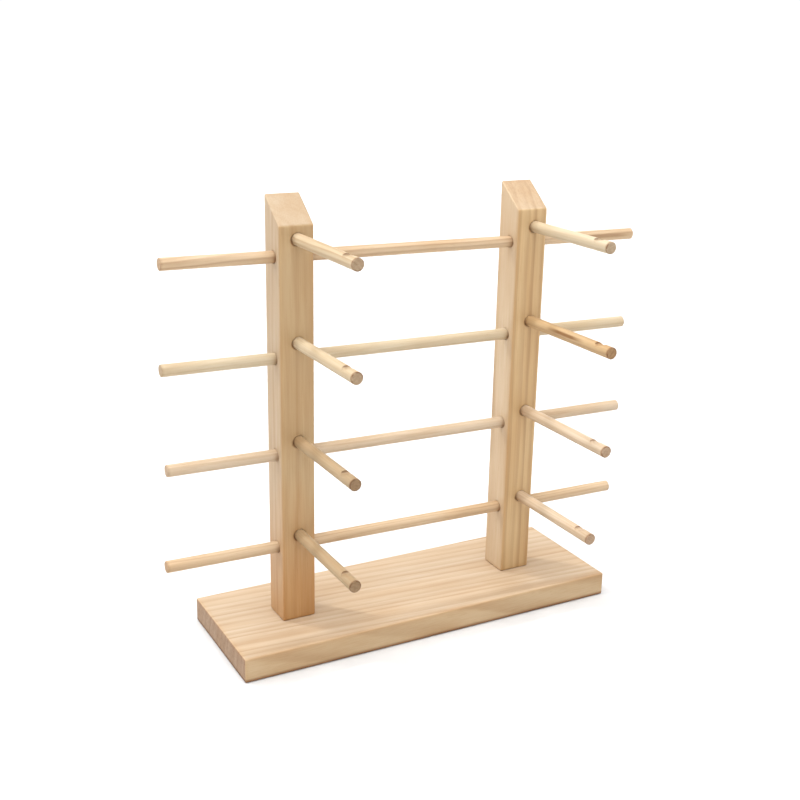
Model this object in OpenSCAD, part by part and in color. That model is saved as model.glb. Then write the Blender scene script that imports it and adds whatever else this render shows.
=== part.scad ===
// Eyewear display rack: a base board with two posts, four long rails and eight pegs.
// Millimetres. X runs along the board, Y points to the back and Z points up.
// The origin is the centre of the board's underside.

/* [Base board] */
// Length of the board
base_l = 300; // [270:1:340]
// Depth of the board, front to back
base_d = 100; // [80:1:140]
// Thickness of the board
base_t = 18; // [15:0.5:25]
// Radius that sanding left on every wooden edge
ease = 1.2; // [0.4:0.1:2]

/* [Posts] */
// Width of a post, along the board
post_w = 25; // [22:0.5:32]
// Depth of a post, front to back
post_d = 24; // [22:0.5:30]
// Height of a post above the board, at its back face
post_h = 302; // [301:1:330]
// How much lower the post's top is at the front face
post_drop = 18; // [0:0.5:19]
// Distance of the left post's centre from the middle of the board
left_post_x = 93.5; // [80:0.5:105]
// Distance of the right post's centre from the middle of the board
right_post_x = 91; // [80:0.5:105]

/* [Dowels] */
// Diameter of the rails and pegs
dowel_d = 8.4; // [6:0.1:8.6]
// Chamfer at the ends of the rails and pegs
dowel_chamfer = 0.4; // [0.1:0.1:1]
// Radial room that a dowel has in its bore
push_fit = 0.15; // [0.05:0.01:0.2]
// Chamfer that the drill left at the mouth of each bore
mouth = 0.5; // [0.1:0.1:1]

/* [Rails] */
// Length of a rail
rail_l = 372; // [340:1:400]
// Height of the bottom rail's axis above the floor, over the middle of the board
rail_z = 71.2; // [66:0.2:72]
// How steeply the rails run down to the right, in degrees
rail_slope = 0.8; // [0.4:0.1:1.2]
// Distance from one rail to the next
rail_pitch = 69.3; // [68:0.1:69.6]
// Distance of the rails in front of the posts' centre
rail_forward = 2; // [0:0.5:3]
// How far each rail is pushed to the right, from the bottom rail up
rail_shift = [-1, 2, 1, 3]; // [-5:0.5:5]

/* [Pegs] */
// Height of the left bottom peg's axis above the floor
left_peg_z = 83.2; // [81.6:0.2:86]
// Height of the right bottom peg's axis above the floor
right_peg_z = 79.6; // [79:0.2:86]
// Distance from one peg to the next
peg_pitch = 69.9; // [69.4:0.1:71]
// How far the left pegs are off the post's centre, to the right
left_peg_off = 1; // [-3:0.5:3]
// How far the right pegs are off the post's centre, to the right
right_peg_off = 2.5; // [-3:0.5:3]
// How far each left peg stands out of the post, from the bottom peg up
left_peg_out = [89, 88, 89, 89]; // [70:1:110]
// How far each right peg stands out of the post, from the bottom peg up
right_peg_out = [90, 100, 98, 89]; // [70:1:110]
// Depth of a peg's blind bore in the post
peg_socket = 15; // [10:1:18]

/* [Notch in a peg] */
// Distance of the notch's lowest point from the peg's tip
notch_back = 14; // [9:0.5:18]
// Depth of the notch
notch_depth = 2; // [1:0.1:2.5]
// Radius of the notch's steep side, the side next to the post
notch_r = 2.4; // [1.5:0.1:4]
// Slope of the notch's shallow side, in degrees
notch_slope = 20; // [15:1:40]

/* [Screws] */
// Diameter over the thread
screw_d = 4; // [3.5:0.1:4.5]
// Diameter of the head
screw_head_d = 7.8; // [7:0.1:8.6]
// Length of a screw
screw_l = 45; // [35:1:50]
// Distance from one thread crest to the next
screw_pitch = 1.8; // [1.5:0.1:2.4]
// Distance between the two screws of a post, front to back
screw_gap = 11; // [10:0.5:12]
// How far the screw heads sit inside the board's underside
screw_sink = 0.6; // [0.3:0.1:1]

/* [Hidden] */

// Rows count from the bottom: 0 bottom, 1 lower, 2 upper, 3 top.
rows = [0:3];
dowel_r = dowel_d / 2;
bore_r = dowel_r + push_fit;
front_y = -post_d / 2;
rail_y = -rail_forward;
peg_y = front_y + peg_socket;
// Room between a peg's inner end and the bottom of its socket
socket_room = 0.5;
// Reach of a cut past the face that it opens through
over = 1;

// The head's cone goes from the head's edge to the shank at 45 degrees.
head_h = (screw_head_d - screw_d) / 2;
screw_clearance = 0.2;
thread_depth = 0.6;
shank_l = base_t - screw_sink - head_h + 2;
tip_h = 5;
thread_n = floor((screw_l - head_h - shank_l - tip_h) / screw_pitch);
recess_w = 1.1;
recess_l = 4.2;
recess_h = 2;

wood_pale = "#EBCFA3";
wood_mid = "#DDBB89";
wood_warm = "#CFA873";
steel = "#B9BCC0";

$fn = 64;

// ---- Shapes that repeat ----

// A rectangle, centred, with round corners of radius r.
module eased_rectangle(w, d, r) {
    square([w - 2 * r, d], center = true);
    square([w, d - 2 * r], center = true);
    for (sx = [-1, 1], sy = [-1, 1])
        translate([sx * (w / 2 - r), sy * (d / 2 - r)])
            circle(r);
}

// A bar along Z from z = 0 to h, with round long edges.
module eased_bar(w, d, h, r) {
    linear_extrude(h)
        eased_rectangle(w, d, r);
}

// A round rod along Z from z = 0 to l, chamfered at its ends.
module dowel(l) {
    c = dowel_chamfer;
    rotate_extrude()
        polygon([[0, 0], [dowel_r - c, 0], [dowel_r, c], [dowel_r, l - c], [dowel_r - c, l], [0, l]]);
}

// The cut for a dowel along Z: it opens at z = 0 and is l deep.
module dowel_bore(l) {
    r = bore_r + mouth;
    rotate_extrude()
        polygon([[0, -over], [r, -over], [r, 0], [bore_r, mouth], [bore_r, l], [0, l]]);
}

// ---- Base board ----

module base_board() {
    color(wood_pale)
    difference() {
        intersection() {
            translate([0, 0, -over])
                eased_bar(base_l, base_d, base_t + 2 * over, ease);
            translate([0, 0, base_t / 2])
                rotate([90, 0, 90])
                    translate([0, 0, -base_l])
                        eased_bar(base_d, base_t, 2 * base_l, ease);
            translate([0, 0, base_t / 2])
                rotate([90, 0, 0])
                    translate([0, 0, -base_d])
                        eased_bar(base_l, base_t, 2 * base_d, ease);
        }
        for (x = [-left_post_x, right_post_x], s = [-1, 1])
            translate([x, s * screw_gap / 2, 0])
                screw_hole();
    }
}

// A screw's clearance hole through the board, with its countersink.
module screw_hole() {
    r = screw_d / 2 + screw_clearance;
    head_r = screw_head_d / 2 + screw_clearance;
    rotate_extrude()
        polygon([
            [0, -over], [head_r, -over], [head_r, screw_sink],
            [r, screw_sink + head_r - r], [r, base_t + over], [0, base_t + over]
        ]);
}

// ---- Posts ----

// A post stands on z = 0 with its centre on the origin.
module post_blank() {
    slope = atan(post_drop / post_d);
    intersection() {
        eased_bar(post_w, post_d, post_h + over, ease);
        // The slanted top, whose side edges are eased too
        translate([0, post_d / 2, post_h])
            rotate([slope + 90, 0, 0])
                translate([0, -post_h, -post_h])
                    eased_bar(post_w, 2 * post_h, 3 * post_h, ease);
    }
}

// A post at x, with its rail bores, its peg sockets and the holes that its screws cut.
module post(x, peg_x, peg_z) {
    color(wood_warm)
    difference() {
        translate([x, 0, base_t])
            post_blank();
        for (i = rows) {
            rail_bore(x, i);
            translate([peg_x, front_y, peg_z + i * peg_pitch])
                rotate([-90, 0, 0])
                    dowel_bore(peg_socket + socket_room);
        }
        for (s = [-1, 1])
            translate([x, s * screw_gap / 2, screw_sink])
                cylinder(r = screw_d / 2 + push_fit, h = screw_l + 1);
    }
}

// The through bore of row i, with a chamfered mouth on both side faces of the post at x.
module rail_bore(x, i) {
    for (s = [-1, 1])
        along_rail(i, (x + s * post_w / 2) / cos(rail_slope))
            rotate([0, s > 0 ? 180 : 0, 0])
                dowel_bore(post_w / 2 + over);
}

module left_post() post(-left_post_x, left_peg_off - left_post_x, left_peg_z);
module right_post() post(right_post_x, right_peg_off + right_post_x, right_peg_z);

// ---- Rails ----

// Puts what follows on row i's rail, at distance d from the middle of the board, with Z along it.
module along_rail(i, d) {
    translate([0, rail_y, rail_z + i * rail_pitch])
        rotate([0, 90 + rail_slope, 0])
            translate([0, 0, d])
                children();
}

// The rail of row i, which runs through both posts.
module rail(i) {
    color(wood_mid)
    along_rail(i, rail_shift[i] - rail_l / 2)
        dowel(rail_l);
}

module bottom_rail() rail(0);
module lower_rail() rail(1);
module upper_rail() rail(2);
module top_rail() rail(3);

// ---- Pegs ----

// A peg stands level in a post's front face. The notch on top holds the bridge of the glasses.
module peg(x, z, out) {
    color(wood_mid)
    difference() {
        translate([x, peg_y, z])
            rotate([90, 0, 0])
                dowel(peg_socket + out);
        translate([x, front_y - out + notch_back, z + dowel_r - notch_depth])
            notch_cut();
    }
}

// The cut has its lowest point on the origin: a round, steep side towards the post, +Y,
// and a straight, shallow side that rises towards the tip, -Y.
module notch_cut() {
    rise = dowel_d;
    start = [notch_r * sin(notch_slope), notch_r * (1 - cos(notch_slope))];
    run = rise / tan(notch_slope);
    rotate([90, 0, -90])
        linear_extrude(2 * dowel_d, center = true) {
            translate([0, notch_r])
                circle(notch_r);
            translate([-notch_r, notch_r])
                square([2 * notch_r, rise]);
            polygon([
                start, [start[0] + run, start[1] + rise],
                [0, start[1] + rise], [0, notch_r]
            ]);
        }
}

module left_peg(i) peg(left_peg_off - left_post_x, left_peg_z + i * peg_pitch, left_peg_out[i]);
module right_peg(i) peg(right_peg_off + right_post_x, right_peg_z + i * peg_pitch, right_peg_out[i]);

module left_bottom_peg() left_peg(0);
module left_lower_peg() left_peg(1);
module left_upper_peg() left_peg(2);
module left_top_peg() left_peg(3);
module right_bottom_peg() right_peg(0);
module right_lower_peg() right_peg(1);
module right_upper_peg() right_peg(2);
module right_top_peg() right_peg(3);

// ---- Screws ----

// A countersunk wood screw along Z, with its head's flat face on z = 0.
module screw() {
    r = screw_d / 2;
    core = r - thread_depth;
    thread_z = head_h + shank_l;
    threads = [for (k = [0:thread_n - 1]) each [
        [core, thread_z + k * screw_pitch],
        [r, thread_z + (k + 0.5) * screw_pitch]
    ]];
    end_z = thread_z + thread_n * screw_pitch;
    color(steel)
    difference() {
        rotate_extrude()
            polygon(concat(
                [[0, 0], [screw_head_d / 2, 0], [r, head_h], [r, thread_z - r / 4]],
                threads,
                [[core, end_z], [0, end_z + tip_h]]
            ));
        for (a = [0, 90])
            rotate([0, 0, a])
                cube([recess_l, recess_w, 2 * recess_h], center = true);
    }
}

// The screw of the post at x. s is -1 for the front screw and 1 for the rear one.
module post_screw(x, s) {
    translate([x, s * screw_gap / 2, screw_sink])
        screw();
}

module left_front_screw() post_screw(-left_post_x, -1);
module left_rear_screw() post_screw(-left_post_x, 1);
module right_front_screw() post_screw(right_post_x, -1);
module right_rear_screw() post_screw(right_post_x, 1);

base_board();
left_post();
right_post();
bottom_rail();
lower_rail();
upper_rail();
top_rail();
left_bottom_peg();
left_lower_peg();
left_upper_peg();
left_top_peg();
right_bottom_peg();
right_lower_peg();
right_upper_peg();
right_top_peg();
left_front_screw();
left_rear_screw();
right_front_screw();
right_rear_screw();
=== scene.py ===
import math
from collections import namedtuple

import bpy
import numpy as np
from mathutils import Euler, Matrix, Vector, noise
from mathutils.kdtree import KDTree


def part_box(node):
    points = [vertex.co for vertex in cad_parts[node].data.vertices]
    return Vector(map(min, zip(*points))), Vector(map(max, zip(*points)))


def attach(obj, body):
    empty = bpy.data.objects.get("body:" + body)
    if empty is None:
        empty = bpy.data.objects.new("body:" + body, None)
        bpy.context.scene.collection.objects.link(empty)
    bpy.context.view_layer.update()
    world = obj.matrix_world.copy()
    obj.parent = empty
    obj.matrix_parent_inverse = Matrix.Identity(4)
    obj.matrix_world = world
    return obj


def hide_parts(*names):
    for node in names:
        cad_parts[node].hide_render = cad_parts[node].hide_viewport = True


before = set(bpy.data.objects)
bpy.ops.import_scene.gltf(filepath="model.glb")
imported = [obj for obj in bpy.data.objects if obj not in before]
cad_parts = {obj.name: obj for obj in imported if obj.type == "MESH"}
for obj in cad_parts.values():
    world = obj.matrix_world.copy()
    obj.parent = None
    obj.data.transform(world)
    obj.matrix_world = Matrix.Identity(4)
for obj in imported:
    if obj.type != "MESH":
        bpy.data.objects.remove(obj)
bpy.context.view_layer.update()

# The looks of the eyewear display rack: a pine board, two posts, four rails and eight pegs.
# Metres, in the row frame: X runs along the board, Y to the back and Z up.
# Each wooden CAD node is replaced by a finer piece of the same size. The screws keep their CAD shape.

MM = 0.001
X, Y, Z = 0, 1, 2
AXES = np.eye(3)
ROWS = ("bottom", "lower", "upper", "top")
POSTS = ("left_post", "right_post")

# Sizes that the part's source gives and its boxes don't
EASE = 1.2 * MM
PUSH_FIT = 0.15 * MM
MOUTH = 0.5 * MM
DOWEL_CHAMFER = 0.4 * MM
PEG_SOCKET = 15 * MM
SOCKET_ROOM = 0.5 * MM
NOTCH_BACK = 14 * MM
NOTCH_DEPTH = 2 * MM
NOTCH_R = 2.4 * MM
NOTCH_SLOPE = math.radians(20)
POST_DROP = 18 * MM
SCREW_CLEARANCE = 0.2 * MM
SCREW_HEAD_R = 3.9 * MM
SCREW_R = 2 * MM
SCREW_SINK = 0.6 * MM
RAIL_SLOPE = math.radians(0.8)
ALONG_RAIL = np.array([math.cos(RAIL_SLOPE), 0, -math.sin(RAIL_SLOPE)])

# How far a cutting solid stands out past the face that it cuts, and how long it is to go through the board
OVER = 1 * MM
THROUGH_BOARD = 20 * MM

# The drill dished the wood round each mouth, mostly on the side that it leaned to. The mouths are darkened
# most on that side too, partly as a scorch and partly as painted shade in the gap round the dowel.
DISH = 1.4 * MM
DISH_DEPTH = 0.15 * MM
WORN_SHADED_SIDE = {"rail": np.array([0, -0.94, -0.34]), "peg": np.array([-0.92, 0, -0.39])}

# How dark the saw left the rim of a dowel's ends
SAWN_RIM = {"rail": 0.25, "peg": 0.9}

# How deep the tools left the wood's surface uneven, and how wide their waves are
BOARD_RELIEF = 0.08 * MM
POST_RELIEF = 0.05 * MM
DOWEL_RELIEF = 0.05 * MM
SAW_RELIEF = 0.12 * MM
RAGGED_MOUTH = 0.08 * MM
SANDED_WAVE = 14 * MM
DOWEL_WAVE = 3 * MM
SAW_WAVE = 1.5 * MM

# How far the dark marks on the wood reach: painted shade where dowels enter the posts and along the board's
# lowest edges, and the heartwood
ENTRY_SHADE_REACH = 1.6 * MM
CONTACT_SHADE_HEIGHT = 1.3 * MM
HEART_STRAY = 60 * MM
HEART_WAVE = 9 * MM

# Fineness of the meshes
ROD_SIDES = 48
ROD_STEP = 1.5 * MM
BOARD_STEP = 2 * MM
POST_STEP = 2.5 * MM
SHARP_ANGLE = math.radians(35)
SAME_POINT = 0.002 * MM


# ---- Meshes ----

def mesh_object(name, points, faces):
    """A new object from points in the row frame."""
    mesh = bpy.data.meshes.new(name)
    mesh.from_pydata([tuple(p) for p in points], [], [tuple(f) for f in faces])
    mesh.update()
    piece = bpy.data.objects.new(name, mesh)
    bpy.context.scene.collection.objects.link(piece)
    return piece


def smooth(piece):
    """Shades a piece smooth between its sharp edges."""
    piece.data.polygons.foreach_set("use_smooth", [True] * len(piece.data.polygons))
    piece.data.set_sharp_from_angle(angle=SHARP_ANGLE)


def points_of(piece):
    """The points of a piece's mesh, one row each."""
    flat = np.empty(3 * len(piece.data.vertices), np.float32)
    piece.data.vertices.foreach_get("co", flat)
    return flat.reshape(-1, 3).astype(float)


def mark(piece, name, values):
    """Gives a piece a number at each point, for its material to read."""
    layers = piece.data.attributes
    layer = layers.get(name) or layers.new(name, "FLOAT", "POINT")
    layer.data.foreach_set("value", np.asarray(values, np.float32))


def marks_of(piece, name):
    """The numbers that a piece has at its points."""
    values = np.empty(len(piece.data.vertices), np.float32)
    piece.data.attributes[name].data.foreach_get("value", values)
    return values


def waves(points, axis, cell, seed, stretch=8):
    """Smooth noise from 0 to 1 at each point, stretched along the grain's axis."""
    scale = np.full(3, 1 / cell)
    scale[axis] /= stretch
    return np.array([0.5 + 0.5 * noise.noise(Vector(p * scale + seed)) for p in points])


def stations(length, step):
    """Places along one side of an eased block, close together over its eased edges."""
    flat = length / 2 - EASE
    middle = np.linspace(-flat, flat, max(3, round(2 * flat / step) + 1))
    edge = flat + EASE * np.tan(np.linspace(0, math.pi / 4, 5)[1:])
    return np.concatenate([-edge[::-1], middle, edge])


def block_surface(places):
    """Points and quads over the six faces of a block, with a row of points at each place of each axis."""
    ids = {}
    quads = []
    for axis in (X, Y, Z):
        a, b = (axis + 1) % 3, (axis + 2) % 3
        last = len(places[axis]) - 1
        for end in (0, last):
            for i in range(len(places[a]) - 1):
                for j in range(len(places[b]) - 1):
                    square = [(i, j), (i + 1, j), (i + 1, j + 1), (i, j + 1)]
                    if end == 0:
                        square.reverse()
                    quad = []
                    for u, v in square:
                        key = [0, 0, 0]
                        key[axis], key[a], key[b] = end, u, v
                        quad.append(ids.setdefault(tuple(key), len(ids)))
                    quads.append(quad)
    points = np.array([[places[k][key[k]] for k in (X, Y, Z)] for key in ids])
    return points, quads


def eased_block(low, high, step, axis, seed, relief):
    """Points and quads of a block with eased edges, sanded up to relief deep in waves along axis."""
    size = high - low
    points, quads = block_surface([stations(s, step) for s in size])
    inner = np.clip(points, EASE - size / 2, size / 2 - EASE)
    outward = points - inner
    outward /= np.linalg.norm(outward, axis=1)[:, None]
    depth = relief * waves(points, axis, SANDED_WAVE, seed)
    return (low + high) / 2 + inner + outward * (EASE - depth)[:, None], quads


def skin(rings, first, last):
    """Points and faces of a closed skin over rings of points, with one middle point at each end."""
    sides, count = len(rings[0]), len(rings)
    faces = []
    for k in range(count - 1):
        for j in range(sides):
            a, b = k * sides + j, k * sides + (j + 1) % sides
            faces.append((a, a + sides, b + sides, b))
    top = (count - 1) * sides
    for j in range(sides):
        after = (j + 1) % sides
        faces.append((count * sides, j, after))
        faces.append((count * sides + 1, top + after, top + j))
    return np.concatenate([*rings, [first], [last]]), faces


def across(along):
    """Two directions across a line. The first one points up unless the line does."""
    guide = AXES[X] if abs(along[Z]) > 0.9 else AXES[Z]
    side = np.cross(guide, along)
    side /= np.linalg.norm(side)
    return np.cross(along, side), side


def worn_and_shaded_share(spokes, side):
    """How worn, and darkened by painted shade, a hole is toward each of its spokes: fully on its worn side
    and little on the other one.
    """
    return 0.1 + 0.9 * np.clip(spokes @ side, 0, 1) ** 2


def turned(place, along, profile, worn=None, ragged=0.0, seed=0):
    """Points, faces and marks of a round solid. profile has (distance, radius, mark) for each ring.

    With a worn side, the rings widen, and their marks, which darken the wood partly as painted shade, lie
    mostly on that side.
    """
    up, side = across(along)
    turn = np.linspace(0, 2 * math.pi, ROD_SIDES, endpoint=False)
    spokes = np.outer(np.cos(turn), up) + np.outer(np.sin(turn), side)
    rough = ragged * np.array([noise.noise(Vector(3 * s) + Vector((seed, seed, 0))) for s in spokes])
    share = np.ones(ROD_SIDES) if worn is None else worn_and_shaded_share(spokes, worn)
    narrow = min(radius for _, radius, _ in profile)
    rings, marks = [], []
    for distance, radius, value in profile:
        reach = narrow + (radius - narrow) * share + rough
        rings.append(place + distance * along + spokes * reach[:, None])
        marks.extend(value * share)
    points, faces = skin(rings, place + profile[0][0] * along, place + profile[-1][0] * along)
    return points, faces, marks + [profile[0][2], profile[-1][2]]


def cut(piece, solids):
    """Cuts solids out of a piece. The walls of the cuts keep the marks of the solids."""
    points, faces, marks = [], [], []
    for solid_points, solid_faces, solid_marks in solids:
        shift = len(points)
        points.extend(solid_points)
        faces.extend([tuple(i + shift for i in face) for face in solid_faces])
        marks.extend(solid_marks)
    cutter = mesh_object("cutter", points, faces)
    modifier = piece.modifiers.new("cut", "BOOLEAN")
    modifier.operation = "DIFFERENCE"
    modifier.solver = "EXACT"
    modifier.object = cutter
    depsgraph = bpy.context.evaluated_depsgraph_get()
    made = bpy.data.meshes.new_from_object(piece.evaluated_get(depsgraph))
    piece.modifiers.clear()
    piece.data = made
    bpy.data.objects.remove(cutter)
    tree = KDTree(len(points))
    for i, point in enumerate(points):
        tree.insert(point, i)
    tree.balance()
    nearest = [tree.find(point) for point in points_of(piece)]
    mark(piece, "cut", [marks[i] if gap < SAME_POINT else 0.0 for _, i, gap in nearest])


# ---- Places of the CAD nodes ----

Line = namedtuple("Line", "start along length radius")


def corners(node):
    """A CAD node's lowest and highest corner."""
    return [np.array(corner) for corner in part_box(node)]


def middle_of(node):
    """The middle of a CAD node's box."""
    return sum(corners(node)) / 2


def rod_line(node):
    """The axis of a rail or a peg, from its left or front end."""
    low, high = corners(node)
    size = high - low
    if node.endswith("rail"):
        along, radius = ALONG_RAIL, size[Y] / 2
    else:
        along, radius = AXES[Y], size[X] / 2
    rise = abs(along[Z])
    length = (max(size) - 2 * (radius - DOWEL_CHAMFER) * rise) / math.sqrt(1 - rise ** 2)
    return Line((low + high) / 2 - along * length / 2, along, length, radius)


# ---- Wood ----

# early and late are the colours of the pale and the dark part of a year's ring. ring is a ring's width
# in mm and sway how far the rings stray. pith is where the tree's middle lies, in mm across the grain from
# the piece's centre, and lean how many degrees it leans from the piece's length. amber is how far
# faces that look to the front are darkened and warmed, as painted shade, and end how much the sawn ends
# darken and show the rings.
Wood = namedtuple("Wood", "early late contrast ring sway pith lean seed amber end")

PALE = (0.58, 0.46, 0.33)
BISCUIT = (0.55, 0.43, 0.305)
STRAW = (0.51, 0.395, 0.27)
CREAM = (0.57, 0.475, 0.33)
BUTTER = (0.605, 0.465, 0.31)
TAN = (0.385, 0.28, 0.16)
HONEY = (0.59, 0.44, 0.285)
AMBER = (0.50, 0.345, 0.18)
RUSSET = (0.38, 0.24, 0.125)
UMBER = (0.30, 0.165, 0.08)

WOODS = {
    "base_board": Wood(BISCUIT, RUSSET, 0.50, 7.4, 2, (185, 60), (0.2, 4.0), 1, 0.6, 0.95),
    "left_post": Wood(STRAW, RUSSET, 0.35, 5.0, 5, (55, 60), (0.3, 0.3), 2, 0.75, 0.1),
    "right_post": Wood(BUTTER, RUSSET, 0.55, 6.5, 4, (-75, 8), (0.3, 0.2), 3, 0.75, 0.45),
    "bottom_rail": Wood(HONEY, RUSSET, 0.45, 3.0, 5, (16, 9), (0.8, 0.5), 4, 0.0, 0.55),
    "lower_rail": Wood(PALE, RUSSET, 0.30, 2.6, 5, (-20, 4), (0.5, 0.6), 5, 0.0, 0.55),
    "upper_rail": Wood(CREAM, RUSSET, 0.25, 2.2, 5, (12, -14), (0.7, 0.4), 6, 0.0, 0.55),
    "top_rail": Wood(HONEY, UMBER, 0.42, 3.2, 5, (-8, -12), (0.9, 0.9), 7, 0.0, 0.55),
    "left_bottom_peg": Wood(TAN, RUSSET, 0.40, 2.8, 5, (12, 8), (1.0, 0.5), 8, 0.1, 0.8),
    "left_lower_peg": Wood(TAN, RUSSET, 0.35, 2.4, 5, (-9, 12), (0.6, 1.0), 9, 0.1, 0.8),
    "left_upper_peg": Wood(CREAM, RUSSET, 0.25, 2.6, 5, (14, -6), (0.8, 0.8), 10, 0.0, 0.8),
    "left_top_peg": Wood(CREAM, RUSSET, 0.50, 3.0, 5, (-12, -8), (1.0, 0.4), 11, 0.0, 0.8),
    "right_bottom_peg": Wood(PALE, RUSSET, 0.35, 2.4, 5, (8, 12), (0.5, 1.0), 12, 0.0, 0.8),
    "right_lower_peg": Wood(PALE, RUSSET, 0.40, 2.6, 5, (-10, 10), (0.7, 0.9), 13, 0.1, 0.8),
    "right_upper_peg": Wood(AMBER, UMBER, 0.45, 2.8, 5, (7, -9), (1.2, 0.6), 14, 0.0, 0.8),
    "right_top_peg": Wood(CREAM, RUSSET, 0.20, 3.0, 5, (-14, 6), (0.6, 0.6), 15, 0.0, 0.8),
}

# What the colour of the wood is multiplied by where it is clouded, fibrous, painted with shade on faces that
# look to the front, sawn across or marked
CLOUD_TINT = (0.90, 0.82, 0.72)
FIBRE_TINT = (0.90, 0.84, 0.76)
FRONT_SHADE_TINT = (0.95, 0.83, 0.58)
SAWN_TINT = (0.66, 0.57, 0.53)
MOTTLE_TINT = (0.84, 0.82, 0.79)
MARK_TINTS = {
    "heart": (1.0, 0.80, 0.60),
    # Partly wear and partly a painted edge highlight
    "edge": (0.96, 0.84, 0.68),
    "streak": (0.46, 0.31, 0.16),
    # Darkens drilled and notched wood, and paints shade in bore mouths, at dowels' entries and along the
    # board's lowest edges
    "cut": (0.50, 0.34, 0.22),
}

# Brown streaks of resin on dowels: start and end are distances from the left or front end, side is the way
# that a streak faces, and depth how dark it is. STREAK_EDGE is the cosine of the angle from that side to its
# edges.
Streak = namedtuple("Streak", "start end side depth")
STREAK_EDGE = 0.92
STREAK_SOFTNESS = 0.06
STREAK_FADE = 14 * MM

STREAKS = {
    "right_upper_peg": Streak(27 * MM, 72 * MM, (-0.92, 0, 0.38), 1.0),
    "top_rail": Streak(318 * MM, 371 * MM, (0, -1, 0.05), 0.6),
}


class Nodes:
    """Adds nodes to a material's tree. An input is another node's socket or a constant."""

    def __init__(self, material):
        self.tree = material.node_tree
        self.shader = self.tree.nodes.get("Principled BSDF")

    def add(self, kind, inputs, **settings):
        node = self.tree.nodes.new("ShaderNode" + kind)
        for name, value in settings.items():
            setattr(node, name, value)
        for name, value in inputs.items():
            self.feed(node.inputs[name], value)
        return node

    def feed(self, socket, value):
        if isinstance(value, bpy.types.NodeSocket):
            self.tree.links.new(value, socket)
        else:
            socket.default_value = value

    def math(self, operation, a, b=0.0):
        return self.add("Math", {0: a, 1: b}, operation=operation).outputs[0]

    def noise(self, place, stretch, detail=2.0, seed=0.0):
        """Noise from 0 to 1. stretch is its fineness along each axis, in cells for each mm."""
        cells = self.add("Mapping", {"Vector": place, "Scale": stretch, "Location": (seed, seed, seed)})
        inputs = {"Vector": cells.outputs[0], "Scale": 1.0, "Detail": detail}
        return self.add("TexNoise", inputs).outputs[0]

    def spread(self, value, low, high, to_low=0.0, to_high=1.0):
        """Takes the range from low to high smoothly to another range, and stops at its ends."""
        inputs = {"Value": value, "From Min": low, "From Max": high, "To Min": to_low, "To Max": to_high}
        return self.add("MapRange", inputs, interpolation_type="SMOOTHSTEP").outputs[0]

    def mix(self, share, a, b, blend="MIX"):
        inputs = {0: share, 6: a, 7: b}
        return self.add("Mix", inputs, data_type="RGBA", blend_type=blend).outputs[2]

    def tint(self, share, shade, factor):
        """Multiplies a shade by a colour, as far as share says."""
        return self.mix(share, shade, colour(factor), "MULTIPLY")

    def facing(self, direction):
        """How far the surface faces a direction of the row frame, from -1 to 1."""
        normal = self.add("TexCoord", {}).outputs["Normal"]
        return self.add("VectorMath", {0: normal, 1: direction}, operation="DOT_PRODUCT").outputs["Value"]

    def mark(self, name):
        """The number that mark() gave each point, and 0 on a piece without it."""
        return self.add("Attribute", {}, attribute_name=name).outputs["Fac"]


def colour(rgb):
    """A colour as Blender's sockets take it, with full alpha."""
    return (*rgb, 1.0)


def grain_place(nodes, look, centre, axis):
    """The place in the tree in mm: its pith is the local Z axis."""
    flat = np.array([AXES[(axis + 1) % 3], AXES[(axis + 2) % 3]])
    lean = Euler((math.radians(look.lean[0]), math.radians(look.lean[1]), 0)).to_matrix()
    turn = lean @ Matrix([*flat, AXES[axis]])
    pith = centre / MM + look.pith @ flat
    inputs = {
        "Vector": nodes.add("TexCoord", {}).outputs["Object"],
        "Location": -(turn @ Vector(pith)),
        "Rotation": turn.to_euler(),
        "Scale": (1 / MM,) * 3,
    }
    return nodes.add("Mapping", inputs).outputs[0]


def ring_shade(nodes, place, look):
    """The year's rings: 0 in their pale part and 1 in their dark lines."""
    flat = nodes.add("VectorMath", {0: place, 1: (1, 1, 0)}, operation="MULTIPLY").outputs[0]
    radius = nodes.add("VectorMath", {0: flat}, operation="LENGTH").outputs["Value"]
    sway = nodes.noise(place, (0.035, 0.035, 0.005), 2.0, look.seed)
    swayed = nodes.math("MULTIPLY_ADD", sway, 2.0 * look.sway)
    nodes.feed(swayed.node.inputs[2], radius)
    count = nodes.math("DIVIDE", swayed, look.ring)
    inputs = {"W": count, "Scale": 0.45, "Detail": 1.0}
    pace = nodes.add("TexNoise", inputs, noise_dimensions="1D").outputs[0]
    uneven = nodes.math("MULTIPLY_ADD", pace, 1.2)
    nodes.feed(uneven.node.inputs[2], count)
    phase = nodes.math("FRACT", uneven)
    year = nodes.add("TexWhiteNoise", {"W": nodes.math("FLOOR", uneven)}, noise_dimensions="1D").outputs[0]
    rise = nodes.spread(phase, 0.25, 0.8)
    fall = nodes.spread(phase, 0.85, 1.0, 1.0, 0.0)
    strength = nodes.spread(year, 0.0, 1.0, 0.5, 1.0)
    return nodes.math("MULTIPLY", nodes.math("MULTIPLY", rise, fall), strength)


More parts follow.
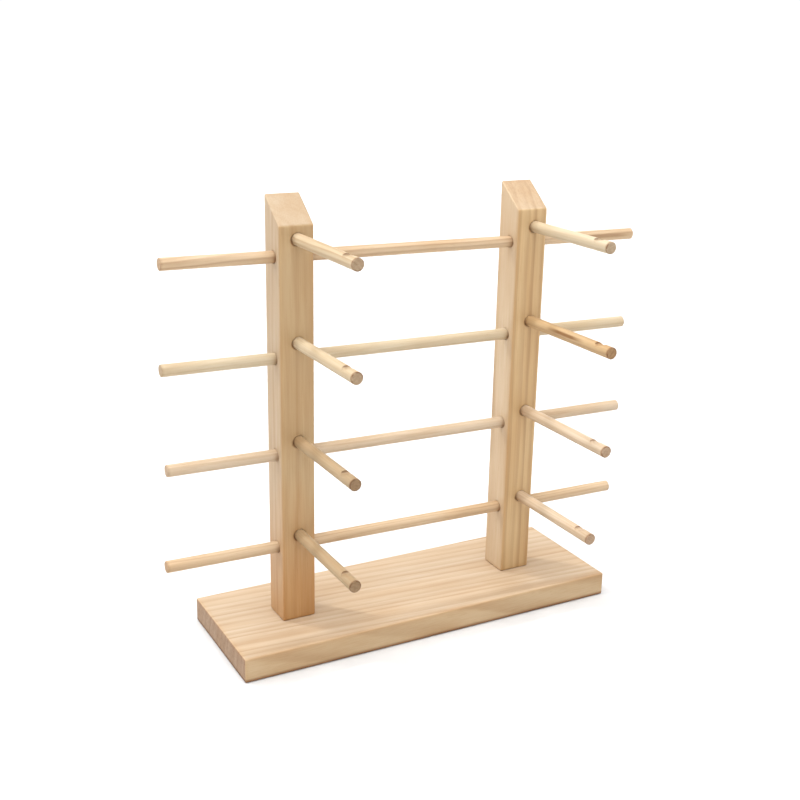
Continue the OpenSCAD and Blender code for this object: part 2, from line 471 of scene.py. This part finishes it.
def wood(node, look, centre, axis):
    """Unfinished, sanded pine: rings round the tree's pith, fibres along it and darker end grain."""
    material = bpy.data.materials.new(node + "_wood")
    material.use_nodes = True
    nodes = Nodes(material)
    place = grain_place(nodes, look, centre, axis)
    rings = ring_shade(nodes, place, look)
    fibres = nodes.noise(place, (1.3, 1.3, 0.03), 4.0, look.seed)
    flecks = nodes.spread(nodes.noise(place, (1.8, 1.8, 0.14), 1.0, look.seed + 9), 0.66, 0.8)
    cloud = nodes.noise(place, (0.06, 0.06, 0.012), 2.0, look.seed + 5)
    end = nodes.spread(nodes.math("ABSOLUTE", nodes.facing(AXES[axis])), 0.65, 0.85)
    # Painted shade: faces that look to the front are made darker and warmer.
    front = nodes.spread(nodes.facing((0, -1, 0)), 0.65, 0.95)
    plain_end = nodes.spread(end, 0.0, 1.0, 1.0, look.end)
    mottle = nodes.spread(nodes.noise(place, (0.7, 0.35, 0.02), 3.0, look.seed + 2), 0.42, 0.6)

    rings = nodes.math("MULTIPLY", rings, plain_end)
    dark = nodes.math("MULTIPLY", rings, look.contrast)
    shade = nodes.mix(dark, colour(look.early), colour(look.late))
    shade = nodes.tint(nodes.spread(cloud, 0.3, 0.7, 0, 0.8), shade, CLOUD_TINT)
    shade = nodes.tint(nodes.spread(fibres, 0.35, 0.7, 0, 0.5), shade, FIBRE_TINT)
    shade = nodes.mix(nodes.math("MULTIPLY", flecks, 0.35), shade, colour(look.late))
    # Painted shade on the faces that look to the front
    shade = nodes.tint(nodes.math("MULTIPLY", front, look.amber), shade, FRONT_SHADE_TINT)
    sawn = nodes.math("MULTIPLY", end, look.end)
    shade = nodes.tint(sawn, shade, SAWN_TINT)
    shade = nodes.tint(nodes.math("MULTIPLY", sawn, mottle), shade, MOTTLE_TINT)
    for name, factor in MARK_TINTS.items():
        shade = nodes.tint(nodes.mark(name), shade, factor)
    nodes.feed(nodes.shader.inputs["Base Color"], shade)

    dull = nodes.spread(fibres, 0.3, 0.7, 0.52, 0.66)
    dull = nodes.math("ADD", dull, nodes.math("MULTIPLY", end, 0.14))
    nodes.feed(nodes.shader.inputs["Roughness"], dull)

    height = nodes.math("ADD", fibres, nodes.math("MULTIPLY", rings, 0.5))
    bump = nodes.add("Bump", {"Strength": 0.35, "Distance": 0.15 * MM, "Height": height})
    nodes.feed(nodes.shader.inputs["Normal"], bump.outputs[0])
    return material


def finish_wood(piece, node, axis):
    """Gives a wooden piece its material and puts it in its CAD node's place."""
    low, high = corners(node)
    piece.data.materials.clear()
    piece.data.materials.append(wood(node, WOODS[node], (low + high) / 2, axis))
    smooth(piece)
    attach(piece, "root")
    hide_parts(node)


def edge_wear_and_highlight(points, low, high):
    """1 along a block's edges and 0 on its faces. The edges are tinted partly for wear and partly as a
    painted highlight.
    """
    to_faces = np.minimum(points - low, high - points)
    second = np.sort(to_faces, axis=1)[:, 1]
    return np.exp(-np.maximum(second, 0) / EASE)


def painted_contact_shade(points):
    """1 on the lowest edges and 0 higher up: painted contact shade where the board meets the floor."""
    return np.clip(2 - points[:, Z] / CONTACT_SHADE_HEIGHT, 0, 1)


# ---- Board ----

def screw_places(node):
    """Where the two screws of a post stand, in the floor's plane."""
    side = node.split("_")[0]
    middles = [middle_of(f"{side}_{end}_screw") for end in ("front", "rear")]
    return [np.array([middle[X], middle[Y], 0.0]) for middle in middles]


def countersink(place):
    """The hole that a screw goes through in the board, with room for its head. Its walls are marked darker,
    partly for cut wood and partly as painted shade in the hole.
    """
    head, shank = SCREW_HEAD_R + SCREW_CLEARANCE, SCREW_R + SCREW_CLEARANCE
    profile = [(-OVER, head, 0.3), (SCREW_SINK, head, 0.6), (SCREW_SINK + head - shank, shank, 1),
               (THROUGH_BOARD, shank, 1)]
    return turned(place, AXES[Z], profile)


def board():
    """The board, with the holes of the four screws."""
    node = "base_board"
    low, high = corners(node)
    piece = mesh_object("board", *eased_block(low, high, BOARD_STEP, X, 1.0, BOARD_RELIEF))
    cut(piece, [countersink(place) for upright in POSTS for place in screw_places(upright)])
    points = points_of(piece)
    mark(piece, "edge", edge_wear_and_highlight(points, low, high))
    # The lowest edges are darkened through the cut mark, as painted contact shade.
    mark(piece, "cut", np.maximum(marks_of(piece, "cut"), painted_contact_shade(points)))
    finish_wood(piece, node, X)


# ---- Posts ----

def bore_mouth(bore):
    """The rings where a bore opens, from the post's face inwards. Their marks darken the mouth and the
    bore's wall, partly as a scorch and partly as painted shade in the gap.
    """
    rim = bore + MOUTH
    return [(-OVER, rim + DISH, 0), (0, rim + DISH, 0), (DISH_DEPTH, rim, 0.65), (MOUTH, bore, 1)]


def rail_bore(rail, low, high):
    """The through bore for a rail, with a ragged mouth on both sides of a post."""
    line = rod_line(rail)
    reach = (low[X] - line.start[X]) / line.along[X]
    width = (high[X] - low[X]) / line.along[X]
    opening = bore_mouth(line.radius + PUSH_FIT)
    profile = opening + [(width - distance, radius, value) for distance, radius, value in reversed(opening)]
    mouth = line.start + reach * line.along
    return turned(mouth, line.along, profile, WORN_SHADED_SIDE["rail"], RAGGED_MOUTH, low[X] / MM)


def peg_socket(peg, front):
    """The blind bore for a peg in a post's front face."""
    line = rod_line(peg)
    place = line.start + (front - line.start[Y]) * line.along
    bore = line.radius + PUSH_FIT
    profile = bore_mouth(bore) + [(PEG_SOCKET + SOCKET_ROOM, bore, 1)]
    return turned(place, line.along, profile, WORN_SHADED_SIDE["peg"], RAGGED_MOUTH, place[Z] / MM)


def screw_hole(place, foot, deep):
    """The hole that a screw cut in a post, from the post's foot."""
    radius = SCREW_R + PUSH_FIT
    return turned(place + foot * AXES[Z], AXES[Z], [(-OVER, radius, 1), (deep - foot, radius, 1)])


def slanted(points, low, high):
    """A post's points with its top slanted down to the front."""
    back = high[Y] - EASE / 2
    forward = np.clip((back - points[:, Y]) / (back - low[Y]), 0, 1)
    upward = (points[:, Z] - low[Z]) / (high[Z] - low[Z])
    points[:, Z] -= POST_DROP * forward * upward ** 3
    return points


def post(node, heart):
    """A post. Its wood turns to heartwood below a height over the board."""
    side = node.split("_")[0]
    low, high = corners(node)
    points, quads = eased_block(low, high, POST_STEP, Z, float(WOODS[node].seed), POST_RELIEF)
    piece = mesh_object(node, slanted(points, low, high), quads)
    solids = [rail_bore(f"{row}_rail", low, high) for row in ROWS]
    solids += [peg_socket(f"{side}_{row}_peg", low[Y]) for row in ROWS]
    deep = corners(f"{side}_front_screw")[1][Z] + OVER
    solids += [screw_hole(place, low[Z], deep) for place in screw_places(node)]
    cut(piece, solids)
    points = points_of(piece)
    up = points[:, Z] - low[Z] + HEART_STRAY * waves(points, Z, HEART_WAVE, 4.0, stretch=5)
    mark(piece, "heart", np.clip(1.5 - up / heart, 0, 1))
    mark(piece, "edge", edge_wear_and_highlight(points, low, high))
    finish_wood(piece, node, Z)


# ---- Rails and pegs ----

def notch_floor(back):
    """Height of a notch's floor over its lowest line, at a distance back from the peg's tip."""
    s = back - NOTCH_BACK
    if s > NOTCH_R:
        return math.inf
    bend = -NOTCH_R * math.sin(NOTCH_SLOPE)
    if s > bend:
        return NOTCH_R - math.sqrt(NOTCH_R ** 2 - s ** 2)
    return NOTCH_R * (1 - math.cos(NOTCH_SLOPE)) + (bend - s) * math.tan(NOTCH_SLOPE)


def notch_stations():
    """Distances from a peg's tip where its mesh has rings, close together at the notch's steep side."""
    steep = NOTCH_BACK + NOTCH_R * np.sin(np.linspace(0, math.acos(1 - NOTCH_DEPTH / NOTCH_R), 14))
    shallow = np.linspace(NOTCH_BACK - 7 * MM, NOTCH_BACK, 20, endpoint=False)
    return np.concatenate([shallow, steep, [NOTCH_BACK + NOTCH_R + 0.2 * MM]])


def rod_stations(length, notched):
    """Distances along a rod where its mesh has rings."""
    plain = np.linspace(DOWEL_CHAMFER, length - DOWEL_CHAMFER, round(length / ROD_STEP))
    if not notched:
        return plain
    dense = notch_stations()
    outside = (plain < dense[0] - 0.5 * MM) | (plain > dense[-1] + 0.5 * MM)
    return np.sort(np.concatenate([plain[outside], dense]))


def rod_profile(line, notched):
    """Distances and radii along a dowel: one end, its length and its other end."""
    flat = line.radius - DOWEL_CHAMFER
    end = [share * flat for share in (0.3, 0.6, 0.85, 1.0)]
    length = [(s, line.radius) for s in rod_stations(line.length, notched)]
    return [(0.0, r) for r in end] + length + [(line.length, r) for r in reversed(end)]


def rod_ring(reach, limit):
    """Heights and widths of the points round a dowel that is cut level at a limit above its axis."""
    turn = np.linspace(-math.pi, math.pi, ROD_SIDES, endpoint=False)
    if limit < reach:
        chord = math.acos(limit / reach)
        for corner in (-chord, chord):
            turn[np.argmin(np.abs(turn - corner))] = corner
    return np.minimum(reach * np.cos(turn), limit), reach * np.sin(turn)


def rod(name, node, slot, notched=False):
    """A sawn dowel in the place of a CAD node. A notched one has its notch near its front end."""
    line = rod_line(node)
    up, side = across(line.along)
    rings, cuts = [], []
    for s, reach in rod_profile(line, notched):
        limit = line.radius - NOTCH_DEPTH + notch_floor(s) if notched else math.inf
        heights, widths = rod_ring(reach, limit)
        rings.append(line.start + s * line.along + np.outer(heights, up) + np.outer(widths, side))
        cuts.append(heights > limit - 0.001 * MM)
    points, faces = skin(rings, line.start, line.start + line.length * line.along)
    points = rough_dowel(points, line, float(WOODS[node].seed))
    piece = mesh_object(name, points, faces)
    notch = np.concatenate([*cuts, [False, False]]) * 0.2
    # The cut mark carries the notch, the dark sawn rims and the painted shade where the dowel enters a post.
    mark(piece, "cut", notch + rod_stain_and_entry_shade(points, line, slot))
    if node in STREAKS:
        mark(piece, "streak", resin(points, line, STREAKS[node]))
    finish_wood(piece, node, int(np.argmax(np.abs(line.along))))


def reach_and_spokes(points, line):
    """How far along a dowel's axis each point lies from its start, and its way out from the axis."""
    reach = (points - line.start) @ line.along
    return reach, points - line.start - np.outer(reach, line.along)


def rod_stain_and_entry_shade(points, line, slot):
    """Dark round a dowel's sawn ends, and painted shade on its worn side where it enters a post; 0 away from
    them.
    """
    reach, spokes = reach_and_spokes(points, line)
    to_end = np.minimum(reach, line.length - reach)
    at_rim = (to_end < 1.2 * DOWEL_CHAMFER) & (np.linalg.norm(spokes, axis=1) > 0.9 * line.radius)
    axis = int(np.argmax(line.along))
    faces = [corner[axis] for upright in POSTS for corner in corners(upright)]
    to_post = np.min([np.abs(points[:, axis] - face) for face in faces], axis=0)
    entry_shade = worn_and_shaded_share(spokes / line.radius, WORN_SHADED_SIDE[slot]) * np.exp(-to_post / ENTRY_SHADE_REACH)
    return SAWN_RIM[slot] * at_rim + entry_shade


def resin(points, line, streak):
    """1 in the middle of a streak of resin on a dowel and 0 away from it."""
    reach, spokes = reach_and_spokes(points, line)
    facing = spokes / line.radius @ np.array(streak.side)
    around = np.clip((facing - STREAK_EDGE) / STREAK_SOFTNESS, 0, 1)
    along = np.clip(np.minimum(reach - streak.start, streak.end - reach) / STREAK_FADE, 0, 1)
    return streak.depth * around * along


def rough_dowel(points, line, seed):
    """Takes a little off a dowel, as its cutter and the saw at its ends did."""
    reach, spokes = reach_and_spokes(points, line)
    axis = int(np.argmax(line.along))
    depth = DOWEL_RELIEF * waves(points, axis, DOWEL_WAVE, seed, stretch=14)
    saw = SAW_RELIEF * waves(points, axis, SAW_WAVE, seed + 20, stretch=1)
    near_start = reach < 0.2 * MM
    near_end = line.length - reach < 0.2 * MM
    inward = np.outer(saw * near_start - saw * near_end, line.along)
    return points - spokes / line.radius * depth[:, None] + inward


# ---- Screws ----

DULL_ZINC = (0.50, 0.51, 0.53)
BRIGHT_ZINC = (0.66, 0.66, 0.65)


def steel():
    """Zinc-plated steel, with faint marks of turning."""
    material = bpy.data.materials.new("zinc_steel")
    material.use_nodes = True
    nodes = Nodes(material)
    place = nodes.add("TexCoord", {}).outputs["Object"]
    bright = nodes.noise(place, (900, 900, 2500), 3.0)
    shade = nodes.mix(nodes.spread(bright, 0.3, 0.7), colour(DULL_ZINC), colour(BRIGHT_ZINC))
    nodes.feed(nodes.shader.inputs["Base Color"], shade)
    nodes.feed(nodes.shader.inputs["Roughness"], nodes.spread(bright, 0.3, 0.7, 0.28, 0.42))
    nodes.feed(nodes.shader.inputs["Metallic"], 1.0)
    bump = nodes.add("Bump", {"Strength": 0.3, "Distance": 0.05 * MM, "Height": bright})
    nodes.feed(nodes.shader.inputs["Normal"], bump.outputs[0])
    return material


# ---- Studio ----

FLOOR_REACH = 8.0
FLOOR_GAP = 0.2 * MM
FLOOR_SHADE = (0.66, 0.66, 0.66)

LAMP_TOWARD = (-0.06, -0.1, 1.0)
SUN_TOWARD = (-0.7, 0.77, 1.0)

# Where the photo was taken from, fitted to the rack's corners
EYE = (-0.39722, -0.71799, 0.43328)
EYE_AZIMUTH = math.radians(28.457)
EYE_DOWN = math.radians(17.992)
EYE_ROLL = math.radians(1.135)
FOCAL_LENGTH = 53.43
SENSOR_WIDTH = 36


def floor():
    """A wide floor just under the board. It turns out white under the lamps."""
    ends = [(-1, -1), (1, -1), (1, 1), (-1, 1)]
    points = [(x * FLOOR_REACH, y * FLOOR_REACH, -FLOOR_GAP) for x, y in ends]
    plane = mesh_object("floor", points, [(0, 1, 2, 3)])
    material = bpy.data.materials.new("floor")
    material.use_nodes = True
    shader = material.node_tree.nodes["Principled BSDF"]
    shader.inputs["Base Color"].default_value = colour(FLOOR_SHADE)
    shader.inputs["Roughness"].default_value = 0.9
    shader.inputs["Specular IOR Level"].default_value = 0.1
    plane.data.materials.append(material)


def sky():
    """A light tent: white walls near the horizon, a dim ceiling and a wide soft lamp near the top."""
    world = bpy.data.worlds.new("sky")
    world.use_nodes = True
    nodes = Nodes(world)
    ray = nodes.add("TexCoord", {}).outputs["Generated"]
    height = nodes.add("SeparateXYZ", {0: ray}).outputs["Z"]
    wall = nodes.spread(nodes.math("ABSOLUTE", height), 0.3, 0.42, 1.05, 0.27)
    toward = Vector(LAMP_TOWARD).normalized()
    near = nodes.add("VectorMath", {0: ray, 1: toward}, operation="DOT_PRODUCT").outputs["Value"]
    lamp = nodes.spread(near, 0.7, 1.0, 0.0, 5.25)
    background = world.node_tree.nodes["Background"]
    background.inputs["Color"].default_value = colour((1, 1, 1))
    nodes.feed(background.inputs["Strength"], nodes.math("ADD", wall, lamp))
    bpy.context.scene.world = world


def sun():
    """A weaker lamp high up behind the left end, for faint shadows of the rails on the posts."""
    light = bpy.data.lights.new("sun", "SUN")
    light.energy = 1.2
    light.angle = math.radians(5)
    lamp = bpy.data.objects.new("sun", light)
    lamp.rotation_mode = "QUATERNION"
    lamp.rotation_quaternion = Vector(SUN_TOWARD).to_track_quat("Z", "Y")
    bpy.context.scene.collection.objects.link(lamp)


def camera():
    """Looks down at the rack from its left front corner."""
    lens = bpy.data.cameras.new("camera")
    lens.lens = FOCAL_LENGTH
    lens.sensor_width = SENSOR_WIDTH
    eye = bpy.data.objects.new("camera", lens)
    turn = Matrix.Rotation(-EYE_AZIMUTH, 3, "Z") @ Matrix.Rotation(math.pi / 2 - EYE_DOWN, 3, "X")
    eye.rotation_mode = "QUATERNION"
    eye.rotation_quaternion = (turn @ Matrix.Rotation(EYE_ROLL, 3, "Z")).to_quaternion()
    eye.location = EYE
    bpy.context.scene.collection.objects.link(eye)
    bpy.context.scene.camera = eye


board()
post("left_post", heart=90 * MM)
post("right_post", heart=10 * MM)
for row in ROWS:
    rod(f"{row}_rail_dowel", f"{row}_rail", "rail")
    for side in ("left", "right"):
        rod(f"{side}_{row}_peg_dowel", f"{side}_{row}_peg", "peg", notched=True)
screw_steel = steel()
for name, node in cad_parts.items():
    if name.endswith("screw"):
        node.data.materials.clear()
        node.data.materials.append(screw_steel)
floor()
sky()
sun()
camera()
bpy.context.scene.view_settings.view_transform = "Standard"
